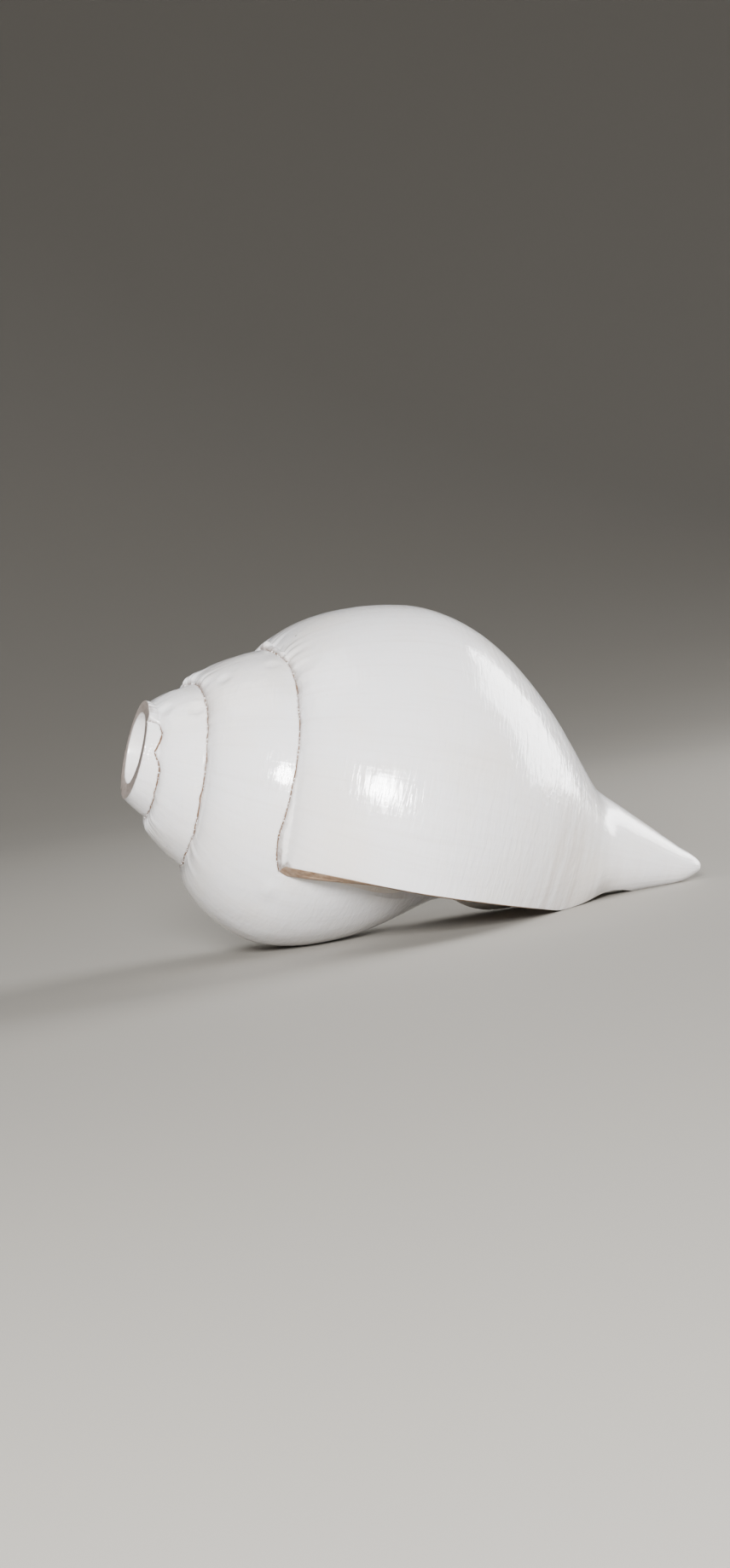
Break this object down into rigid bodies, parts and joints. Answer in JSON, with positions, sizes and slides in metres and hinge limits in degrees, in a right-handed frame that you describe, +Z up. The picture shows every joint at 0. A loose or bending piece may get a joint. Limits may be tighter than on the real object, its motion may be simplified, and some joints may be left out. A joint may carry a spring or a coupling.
{
  "type": "conch shell",
  "caption": "Polished white conch shell with its spire sawn flat and bored as a blowing hole, a wide aperture with a ground lip and an open canal.",
  "frame": {"origin": "centre of the bounding box's footprint, at the height of the surface the shell rests on", "axes": "+X along the shell toward the tip of its canal, +Z up; the shown side faces -Y and the aperture faces down"},
  "size_m": [0.1486, 0.0994, 0.083],
  "materials": {
    "polished_shell": "polished, glossy"
  },
  "bodies": {
    "root": {"conch_shell": "polished_shell"}
  },
  "joints": []
}
